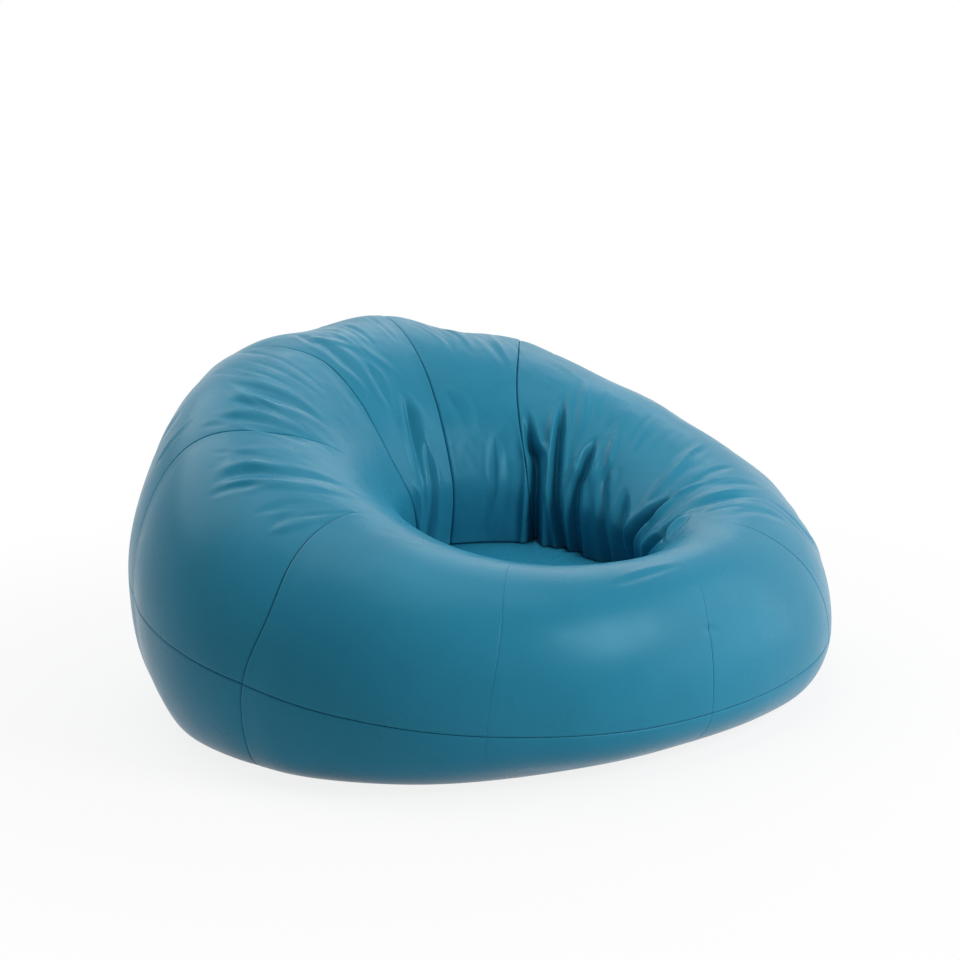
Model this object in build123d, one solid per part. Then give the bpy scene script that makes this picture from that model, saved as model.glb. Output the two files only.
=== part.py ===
from build123d import *
import math
import os

# Round bean bag chair with a sat-in seat hollow, in millimetres.
# +Z is up, the chair faces -Y, and the origin is under the middle of its bounding box, on the floor.
#
# The bag is described in polar form about the upright axis of the seat hollow. An angle is in degrees
# from the front, growing towards +X. A triple is a size at the front, at the sides and at the back.

# Driving dimensions of the bag
CONTACT_R = (242, 449, 517)
WIDEST_R = (356, 525, 598)
WIDEST_Z = (68, 136, 250)
CREST_R = (234, 340, 463)
CREST_Z = (259, 330, 510)
SEAT_R = (172, 166, 194)
SEAT_Z = 190
HOLLOW_AXIS = (1.3, -122.8)
SEAM_ANGLES = (1, 49, 94, 140.5, 171.5, 200, 236.5, 271.5, 311)

# Driving dimensions of the cover, the liner and the filling
COVER_T = 2.0
PANEL_SWELL = 7.0
SEAM_DRAW = 3.0
PANEL_STRIPS = 6
UPPER_STEPS = 8
LOWER_STEPS = 5
LINER_T = 1.0
LINER_INSET = 11.0
FILLING_CLEARANCE = 1.0
RING_POINTS = 32
FORM_STEPS = 4

# Small gaps that keep sewn neighbours from cutting into each other
SEAM_GAP = 0.2
BASE_GAP = 0.1

# Driving dimensions of the cover zip, which lies across the base behind a turned-up hem
ZIP_Y = 40
ZIP_LENGTH = 480
ZIP_MID_Z = 9.0
OPENING_W = 34
HEM_T = 1.5
TAPE_T = 0.8
TAPE_GAP = 6.4
TOOTH_PITCH = 5.0
TOOTH_W = 2.1
TOOTH_T = 2.4
TOOTH_TIP = 1.6
TOOTH_ROOT = 2.0

# Driving dimensions of the liner zip, which closes the liner over the cover zip
LINER_ZIP_LENGTH = 440
LINER_ZIP_MID_Z = 31.0
LINER_OPENING_W = 24
LINER_TAPE_EDGE = 14
COIL_W = 2.6
COIL_T = 2.2
POCKET_MARGIN = 8

# Driving dimensions of a zip slider
SLIDER_L = 18
SLIDER_TAIL_W = 10
SLIDER_NOSE_W = 13
SLIDER_PLATE_T = 1.3
SLIDER_PLAY = 0.3
SLIDER_LIP_T = 1.3
SLIDER_TAPE_SLOT = 1.4
SLIDER_WEDGE_W = 4.2
SLIDER_WEDGE_SETBACK = 1.0
SLIDER_CORNER_R = 2.0
BRIDGE_W = 3.0
BRIDGE_L = 9.0
BRIDGE_H = 2.2
BRIDGE_WIRE = 1.1
STOP_L = 2.8


def cosine(angle):
    return math.cos(math.radians(angle))


def sine(angle):
    return math.sin(math.radians(angle))


def around(sizes, angle):
    """A size at an angle round the hollow, smooth through its front, side and back values."""
    front, side, back = sizes
    even = (front + back + 2 * side) / 4
    skew = (front - back) / 2
    oval = (front + back - 2 * side) / 4
    return even + skew * cosine(angle) + oval * cosine(2 * angle)


def panel_spans():
    """First and last angle of each panel, in order round the bag."""
    ends = SEAM_ANGLES[1:] + (SEAM_ANGLES[0] + 360,)
    return list(zip(SEAM_ANGLES, ends))


def swell(share):
    """How far the cover stands out at a share of a panel's width: drawn in at the seams."""
    return PANEL_SWELL * sine(180 * share) - SEAM_DRAW


def wall_point(angle, turn, out, inset):
    """Radius and height on the hollow's wall: a quarter ellipse from the seat, at 0, to the crest, at 90."""
    crest_r = around(CREST_R, angle)
    reach = crest_r - around(SEAT_R, angle) + out - inset
    rise = around(CREST_Z, angle) - SEAT_Z + out - inset
    return crest_r - reach * cosine(turn), SEAT_Z + rise * sine(turn)


def side_point(angle, turn, out, inset):
    """Radius and height on the outer side: a quarter ellipse from the crest, at 0, to the base seam, at 90."""
    crest_r = around(CREST_R, angle)
    widest_z = around(WIDEST_Z, angle)
    reach = around(WIDEST_R, angle) - crest_r + out - inset
    rise = around(CREST_Z, angle) - widest_z + out - inset
    return crest_r + reach * sine(turn), widest_z + rise * cosine(turn)


def low_point(angle, turn, out, inset):
    """Radius and height on the lower band: a quarter ellipse from the base seam, at 0, to the floor, at 90."""
    contact_r = around(CONTACT_R, angle)
    seam_z = around(WIDEST_Z, angle) - SEAM_GAP
    reach = around(WIDEST_R, angle) - contact_r + out - inset
    return contact_r + reach * cosine(turn), seam_z - (seam_z - inset) * sine(turn)


def quarter(profile, steps):
    """Even stops along one quarter ellipse of the bag's profile."""
    return [(profile, 90 * step / steps) for step in range(steps + 1)]


def ring_point(radius, height, angle):
    return (HOLLOW_AXIS[0] + radius * sine(angle), HOLLOW_AXIS[1] - radius * cosine(angle), height)


def grid(stops, columns, inset):
    """Points of the bag's surface, row by row from the seat down, at the columns' angles and swell."""
    return [
        [ring_point(*profile(angle, turn, out, inset), angle) for angle, out in columns]
        for profile, turn in stops
    ]


def flat(points):
    return Face(Wire.make_polygon(points, close=True))


def facets(rows):
    """Two flat facets for each cell between rows of points."""
    faces = []
    for row, following in zip(rows, rows[1:]):
        for a, b, c, d in zip(row, row[1:], following[1:], following):
            faces += [flat([a, b, c]), flat([a, c, d])]
    return faces


def panel_columns(first, last):
    """Angles at even steps from seam to seam, with how far the cover stands out there."""
    shares = [step / PANEL_STRIPS for step in range(PANEL_STRIPS + 1)]
    return [(first + (last - first) * share, swell(share)) for share in shares]


def sewn_panel(stops, first, last):
    """One cover panel: a bent sheet of even thickness between two seams."""
    columns = panel_columns(first, last)
    outside = grid(stops, columns, 0)
    inside = grid(stops, columns, COVER_T)
    faces = facets(outside) + facets(inside)
    for end in (0, -1):
        faces += facets([outside[end], inside[end]])
        seam = [row[end] for row in outside] + [row[end] for row in reversed(inside)]
        faces.append(flat(seam))
    return Solid(Shell(faces))


def flat_ring(sizes, change, height):
    """Closed level outline round the hollow's axis."""
    angles = [360 * step / RING_POINTS for step in range(RING_POINTS)]
    return flat([ring_point(around(sizes, angle) + change, height, angle) for angle in angles])


def bag_form(inset, bottom, top):
    """Closed form of the bag, smaller than the cover by an inset, with a flat bottom and seat."""
    columns = [(360 * step / RING_POINTS, 0) for step in range(RING_POINTS + 1)]
    stops = quarter(wall_point, FORM_STEPS) + quarter(side_point, FORM_STEPS)[1:]
    stops += quarter(low_point, FORM_STEPS)[1:-1]
    seat = [ring_point(around(SEAT_R, angle) + inset, top, angle) for angle, out in columns]
    floor = [ring_point(around(CONTACT_R, angle) - inset, bottom, angle) for angle, out in columns]
    faces = facets([seat] + grid(stops, columns, inset) + [floor])
    return Solid(Shell(faces + [flat(seat[:-1]), flat(floor[:-1])]))


def block(x_size, y_size, low, high, centre=(0, ZIP_Y)):
    """Upright block between two heights, centred over a point of the floor."""
    return Pos(*centre, low) * Box(x_size, y_size, high - low, align=(Align.CENTER, Align.CENTER, Align.MIN))


def make_seat_panel():
    outline = flat_ring(SEAT_R, COVER_T + SEAM_DRAW, SEAT_Z - COVER_T)
    return extrude(outline, COVER_T, dir=(0, 0, 1))


def base_sheet():
    """Flat base, straight between the panels' columns like the lower band that it is sewn to."""
    angles = [angle for span in panel_spans() for angle, out in panel_columns(*span)[:-1]]
    outline = flat([ring_point(around(CONTACT_R, angle) - BASE_GAP, 0, angle) for angle in angles])
    return extrude(outline, COVER_T, dir=(0, 0, 1))


def make_base_halves():
    """Flat base with the zip opening, whose edge is turned up as a hem, cut in two along the zip."""
    hem_top = ZIP_MID_Z - TAPE_T / 2
    opening = (ZIP_LENGTH, OPENING_W)
    outer = (ZIP_LENGTH + 2 * HEM_T, OPENING_W + 2 * HEM_T)
    base = base_sheet() + block(*outer, 0, hem_top) - block(*opening, 0, hem_top)
    cut = Plane.XZ.offset(-ZIP_Y)
    return split(base, bisect_by=cut, keep=Keep.TOP), split(base, bisect_by=cut, keep=Keep.BOTTOM)


def make_tape(length, outer_edge, mid_z, side):
    """Woven zip tape from its sewn outer edge to the row of teeth; side is -1 in front, 1 behind."""
    width = outer_edge - TAPE_GAP / 2
    centre = (0, ZIP_Y + side * (outer_edge + TAPE_GAP / 2) / 2)
    return block(length, width, mid_z - TAPE_T / 2, mid_z + TAPE_T / 2, centre)


def closed_end(length):
    """Where the teeth stop, in the middle of the slider when the zip is closed."""
    return length / 2 - SLIDER_L


def make_teeth(side):
    """One row of moulded teeth on its bead; the two rows mesh half a pitch apart."""
    start = -ZIP_LENGTH / 2 + SLIDER_L
    end = closed_end(ZIP_LENGTH)
    first = start + TOOTH_PITCH * (0.25 if side < 0 else 0.75)
    count = int((end - first - TOOTH_W / 2) / TOOTH_PITCH) + 1
    bead_y = side * (TAPE_GAP / 2 + TOOTH_ROOT) / 2
    tooth_y = side * (TOOTH_ROOT - TOOTH_TIP) / 2
    with BuildPart() as row:
        with BuildSketch(Plane.XY.offset(ZIP_MID_Z - TOOTH_T / 2)):
            with Locations(((start + end) / 2, ZIP_Y + bead_y)):
                Rectangle(end - start, TAPE_GAP / 2 - TOOTH_ROOT)
            middle = first + TOOTH_PITCH * (count - 1) / 2
            with Locations((middle, ZIP_Y + tooth_y)):
                with GridLocations(TOOTH_PITCH, 0, count, 1):
                    Rectangle(TOOTH_W, TOOTH_ROOT + TOOTH_TIP)
        extrude(amount=TOOTH_T)
    return row.part


def make_coil(side):
    """One side of the liner's coil, as the solid bar that its close turns make."""
    start = -LINER_ZIP_LENGTH / 2 + SLIDER_L
    end = closed_end(LINER_ZIP_LENGTH)
    centre = ((start + end) / 2, ZIP_Y + side * (TAPE_GAP - COIL_W) / 2)
    bar = block(end - start, COIL_W, LINER_ZIP_MID_Z - COIL_T / 2, LINER_ZIP_MID_Z + COIL_T / 2, centre)
    return fillet(bar.edges().filter_by(Axis.X), COIL_T / 4)


def make_top_stops(length, mid_z):
    """Two clamps on the tapes' edges that the slider runs up to when the zip is closed."""
    x = closed_end(length) + SLIDER_L / 2 + SLIDER_PLAY + STOP_L / 2
    width = (TAPE_GAP - SLIDER_WEDGE_W) / 2 + SLIDER_PLAY
    offset = (TAPE_GAP - width) / 2
    low, high = mid_z - TOOTH_T / 2, mid_z + TOOTH_T / 2
    return [block(STOP_L, width, low, high, (x, ZIP_Y + side * offset)) for side in (-1, 1)]


def make_bottom_stop(length, mid_z):
    """Clamp across both tapes at the open end of the zip."""
    x = -length / 2 + SLIDER_L - SEAM_GAP - STOP_L / 2
    return block(STOP_L, TAPE_GAP, mid_z - TOOTH_T / 2, mid_z + TOOTH_T / 2, (x, ZIP_Y))


def slider_plate():
    """Half of the slider: a plate that widens to the nose, with a lip along each side."""
    tail, nose = -SLIDER_L / 2, SLIDER_L / 2
    channel = TOOTH_T / 2 + SLIDER_PLAY
    lip_low = SLIDER_TAPE_SLOT / 2
    lip_y = TAPE_GAP / 2 + SLIDER_PLAY
    outline = [(tail, -SLIDER_TAIL_W / 2), (0, -SLIDER_TAIL_W / 2), (nose, -SLIDER_NOSE_W / 2)]
    outline += [(nose, SLIDER_NOSE_W / 2), (0, SLIDER_TAIL_W / 2), (tail, SLIDER_TAIL_W / 2)]
    plate = extrude(Plane.XY.offset(channel) * Polygon(*outline, align=None), SLIDER_PLATE_T)
    plate = fillet(plate.edges().filter_by(Axis.Z), SLIDER_CORNER_R)
    flare = (SLIDER_NOSE_W - SLIDER_TAIL_W) / 2
    for side in (-1, 1):
        inner = [(tail + SLIDER_CORNER_R, lip_y), (0, lip_y), (nose - SLIDER_CORNER_R, lip_y + flare)]
        edge = inner + [(x, y + SLIDER_LIP_T) for x, y in reversed(inner)]
        lip = extrude(
            Plane.XY.offset(lip_low) * Polygon(*[(x, side * y) for x, y in edge], align=None),
            channel - lip_low,
            dir=(0, 0, 1),
        )
        plate += lip
    return plate


def make_slider(length, mid_z):
    """Child-safe slider: two plates joined by the wedge that parts the teeth, and a bridge with no pull tab."""
    upper = slider_plate()
    channel = TOOTH_T / 2 + SLIDER_PLAY
    half = SLIDER_WEDGE_W / 2
    waist = SLIDER_L / 4
    front = SLIDER_L / 2 - SLIDER_WEDGE_SETBACK
    wedge_outline = [(SLIDER_PLAY, 0), (waist, -half), (front, -half), (front, half), (waist, half)]
    wedge = Plane.XY.offset(-channel) * Polygon(*wedge_outline, align=None)
    body = upper + mirror(upper, about=Plane.XY) + extrude(wedge, 2 * channel, dir=(0, 0, 1))
    under = -channel - SLIDER_PLATE_T
    arch = Pos(0, 0, under - BRIDGE_H / 2) * Box(BRIDGE_L, BRIDGE_W, BRIDGE_H)
    arch = fillet(arch.edges().filter_by(Axis.Y).group_by(Axis.Z)[0], BRIDGE_H / 2)
    clear = (BRIDGE_L - 2 * BRIDGE_WIRE, BRIDGE_W, BRIDGE_H - BRIDGE_WIRE)
    arch -= Pos(0, 0, under - clear[2] / 2) * Box(*clear)
    return Pos(closed_end(length), ZIP_Y, mid_z) * (body + arch)


def zip_pocket(rise):
    """Space over the cover zip that the liner is tucked up around, larger all over by rise."""
    x_size = ZIP_LENGTH + 2 * (POCKET_MARGIN + rise)
    y_size = OPENING_W + 2 * (POCKET_MARGIN + rise)
    return block(x_size, y_size, 0, LINER_ZIP_MID_Z - TAPE_T / 2 - LINER_T + rise)


def make_liner():
    """Thin bag inside the cover, tucked up over the cover zip and cut open there for its own zip."""
    outside = bag_form(LINER_INSET, COVER_T + SEAM_GAP, SEAT_Z - COVER_T - SEAM_GAP)
    inside = bag_form(
        LINER_INSET + LINER_T, COVER_T + SEAM_GAP + LINER_T, SEAT_Z - COVER_T - SEAM_GAP - LINER_T
    )
    shell = (outside - zip_pocket(0)) - (inside - zip_pocket(LINER_T))
    return shell - block(LINER_ZIP_LENGTH, LINER_OPENING_W, 0, LINER_ZIP_MID_Z)


def make_filling():
    """Bead mass that fills the liner and leaves room for the liner's zip."""
    gap = LINER_T + FILLING_CLEARANCE
    bottom = COVER_T + SEAM_GAP + gap
    form = bag_form(LINER_INSET + gap, bottom, SEAT_Z - COVER_T - SEAM_GAP - gap)
    room = zip_pocket(gap)
    head_z = LINER_ZIP_MID_Z + TOOTH_T / 2 + SLIDER_PLAY + SLIDER_PLATE_T + FILLING_CLEARANCE
    slider_room = block(LINER_ZIP_LENGTH, 2 * LINER_TAPE_EDGE + 2 * gap, 0, head_z)
    return form - room - slider_room


upper_stops = quarter(wall_point, UPPER_STEPS) + quarter(side_point, UPPER_STEPS)[1:]
lower_stops = quarter(low_point, LOWER_STEPS)
parts = {}
for number, (first, last) in enumerate(panel_spans(), start=1):
    parts[f"top_panel_{number}"] = sewn_panel(upper_stops, first, last)
    parts[f"lower_panel_{number}"] = sewn_panel(lower_stops, first, last)
parts["seat_panel"] = make_seat_panel()
parts["base_front"], parts["base_back"] = make_base_halves()

for name, side in (("front", -1), ("back", 1)):
    sewn_edge = OPENING_W / 2 + HEM_T
    parts[f"cover_zip_tape_{name}"] = make_tape(ZIP_LENGTH + 2 * HEM_T, sewn_edge, ZIP_MID_Z, side)
    parts[f"cover_zip_teeth_{name}"] = make_teeth(side)
    parts[f"liner_zip_tape_{name}"] = make_tape(LINER_ZIP_LENGTH, LINER_TAPE_EDGE, LINER_ZIP_MID_Z, side)
    parts[f"liner_zip_coil_{name}"] = make_coil(side)

for name, length, mid_z in (("cover", ZIP_LENGTH, ZIP_MID_Z), ("liner", LINER_ZIP_LENGTH, LINER_ZIP_MID_Z)):
    parts[f"{name}_zip_slider"] = make_slider(length, mid_z)
    parts[f"{name}_zip_top_stops"] = Compound(make_top_stops(length, mid_z))
    parts[f"{name}_zip_bottom_stop"] = make_bottom_stop(length, mid_z)

parts["liner"] = make_liner()
parts["filling"] = make_filling()

os.makedirs("parts", exist_ok=True)
for name, part in parts.items():
    export_step(part, f"parts/{name}.step")

box = Compound(list(parts.values())).bounding_box()
print("box from", box.min, "to", box.max)
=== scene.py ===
import math

import bmesh
import bpy
import numpy as np
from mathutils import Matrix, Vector, noise


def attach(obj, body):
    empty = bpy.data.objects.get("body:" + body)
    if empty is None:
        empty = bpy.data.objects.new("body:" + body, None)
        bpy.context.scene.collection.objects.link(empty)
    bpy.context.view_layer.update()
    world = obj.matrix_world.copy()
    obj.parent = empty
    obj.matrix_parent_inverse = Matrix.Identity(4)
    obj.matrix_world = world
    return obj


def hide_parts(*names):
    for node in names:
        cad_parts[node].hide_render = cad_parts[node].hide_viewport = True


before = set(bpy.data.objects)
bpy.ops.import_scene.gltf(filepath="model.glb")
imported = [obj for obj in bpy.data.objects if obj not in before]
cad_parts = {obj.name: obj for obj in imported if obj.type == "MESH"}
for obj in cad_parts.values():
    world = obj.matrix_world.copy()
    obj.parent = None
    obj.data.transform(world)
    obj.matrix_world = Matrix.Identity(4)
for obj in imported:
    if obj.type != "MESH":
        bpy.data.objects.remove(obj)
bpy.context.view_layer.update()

# Looks of a round bean bag chair in satin leather cloth, in metres.
# As in the solids, the bag is polar about the upright axis of its seat hollow. An angle is in degrees from
# the front, growing towards +X, and a triple is a size at the front, at the sides and at the back.
# A level runs along the bag's profile. It is 0 at the seat seam, 1 at the crest, 2 at the base seam
# and 3 on the floor.

# Driving dimensions of the bag
CONTACT_R = (0.242, 0.449, 0.517)
WIDEST_R = (0.356, 0.525, 0.598)
WIDEST_Z = (0.068, 0.136, 0.250)
CREST_R = (0.234, 0.340, 0.463)
CREST_Z = (0.259, 0.330, 0.510)
SEAT_R = (0.172, 0.166, 0.194)
SEAT_Z = 0.190
HOLLOW_AXIS = (0.0013, -0.1228)

# Course of each seam as (level, angle) points, in panel order from the front towards +X
SEAM_COURSES = (
    ((0, 2), (1, 6), (1.3, 6.5), (1.6, 3.2), (2, 0.8), (3, 0.8)),
    ((0, 48), (1, 46.5), (1.3, 47), (1.6, 49.5), (2, 52), (3, 52)),
    ((0, 87), (0.35, 84), (0.6, 84.2), (0.9, 88.5), (1.2, 92), (2, 94), (3, 94)),
    ((0, 139.5), (0.2, 140.4), (0.45, 143.2), (0.9, 141.6), (1.3, 140.5), (3, 140.5)),
    ((0, 173), (0.3, 173), (0.6, 171), (1, 169), (1.5, 170), (2, 171), (3, 171)),
    ((0, 189), (0.1, 193.2), (0.21, 199.2), (0.3, 203), (0.42, 203.8), (0.56, 201.7),
     (0.75, 199.7), (0.93, 200.8), (1.1, 202.8), (2, 200), (3, 200)),
    ((0, 236), (0.6, 235), (0.8, 236.5), (1.4, 235.5), (1.7, 238.5), (2, 240), (3, 240)),
    ((0, 271), (1.1, 270.3), (1.35, 272), (1.65, 273.6), (2, 271.3), (2.5, 270), (3, 267)),
    ((0, 311), (1.1, 311.2), (1.5, 311.8), (2, 310.2), (3, 310)),
)
PANELS = len(SEAM_COURSES)

# How deep each seam lies along its course, as (level, share) points.
# The seams in front are pulled nearly flat.
SEAM_SHARES = (
    ((1.30, 0), (1.60, 0.18), (1.90, 0.14), (2.10, 0.10)),
    ((1.00, 0), (1.35, 0.25)),
    ((1.10, 0), (1.40, 0.50), (2.25, 1)),
    ((0.75, 1.8), (0.95, 0.9), (1.10, 0.9), (1.30, 1.8)),
    ((0, 1.8),),
    ((0.60, 3), (0.80, 1.8)),
    ((0.58, 0), (0.85, 1.6)),
    ((0.92, 0), (1.15, 1.2)),
    ((0.95, 0), (1.15, 0.15), (1.60, 0.13), (1.82, 0.02)),
)
BASE_SEAM_SHARE = 0.8

# Driving dimensions of the cover
COVER_T = 0.0016
PANEL_SWELL = 0.0025
SEAM_DRAW = 0.004
SEAM_PULL_W = 0.2
SEAM_ROLL = 0.003
LAP_RISE = 0.0011
LAP_W = 0.009
LUMP_SIZES = ((0.26, 0.0025), (0.10, 0.0008))
SEAT_CROWN = 0.006
SEAT_CROWN_POWER = 6
SEAT_EDGE_DROP = 0.001

# Levels between which the cover's relief dies away where the bag turns under onto the floor
LANDING_LEVELS = (2.5, 3)

# The seat and the foot of the wall sink on one side: depth, angle of the lowest place and spread in degrees
SEAT_DIP = 0.026
SEAT_DIP_ANGLE = 96
SEAT_DIP_SPREAD = 34
SEAT_DIP_LEVEL = 0.25

# The wall draws back at its foot, under a level
FOOT_TUCK = 0.022
FOOT_LEVEL = 0.22

# Broad pushes of the filling: height, reach and the (angle, level) of the middle
BULGES = (
    (-0.013, 0.08, (186, 1.15)),
    (0.005, 0.04, (204.5, 1.34)),
    (0.007, 0.05, (169, 1.06)),
    (-0.010, 0.05, (154.5, 1.08)),
    (0.006, 0.04, (140.5, 1.08)),
    (-0.007, 0.07, (122, 1.17)),
    (-0.0055, 0.06, (105, 1.3)),
    (0.004, 0.05, (86, 1.5)),
    (-0.011, 0.09, (219.5, 1.8)),
    (-0.012, 0.06, (241, 2.70)),
    (0.007, 0.08, (274, 2.70)),
    (-0.009, 0.12, (318, 2.72)),
    (-0.004, 0.12, (352, 2.72)),
    (-0.003, 0.14, (35, 2.72)),
)

# Driving dimensions of the zip opening in the base, and of the liner and the filling round it.
# The base's hem runs right across the base, past both ends of the opening.
ZIP_Y = 0.040
ZIP_LENGTH = 0.480
OPENING_W = 0.034
HEM_TOP = 0.0086
LINER_ZIP_LENGTH = 0.440
LINER_OPENING_W = 0.024
LINER_INSET = 0.015
LINER_FLOOR = 0.0028
FILLING_INSET = 0.018
FILLING_FLOOR = 0.0050
HOLLOW_ROOM = 0.052
HOLLOW_ROOM_LEVELS = (0.55, 1.05)
SEAT_ROOM = 0.006
SLOT_CORNER = 0.006
HEM_LENGTH = 2
LINER_POCKET_LENGTH = ZIP_LENGTH + 0.028
FILLING_POCKET_LENGTH = ZIP_LENGTH + 0.036
EDGE_TAPER = 0.03

# Edges of the base, the liner and the filling beside the zip, as (distance out, rise over the floor) points
LINER_ROOF = 0.0300 - LINER_FLOOR
FILLING_ROOF = 0.0350 - FILLING_FLOOR
FILLING_STEP = 0.0320 - FILLING_FLOOR
BASE_EDGE = ((0, HEM_TOP), (0, 0.004), (0.0003, 0.002), (0.0012, 0.0007), (0.003, 0.0001), (0.006, 0))
LINER_EDGE = (
    (0, LINER_ROOF), (0.012, LINER_ROOF), (0.0135, LINER_ROOF - 0.001), (0.014, LINER_ROOF - 0.003),
    (0.015, 0.004), (0.018, 0),
)
FILLING_EDGE = (
    (0, FILLING_ROOF), (0.017, FILLING_ROOF), (0.018, FILLING_STEP), (0.027, FILLING_STEP),
    (0.029, FILLING_STEP - 0.002), (0.031, 0.003), (0.036, 0),
)

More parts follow.
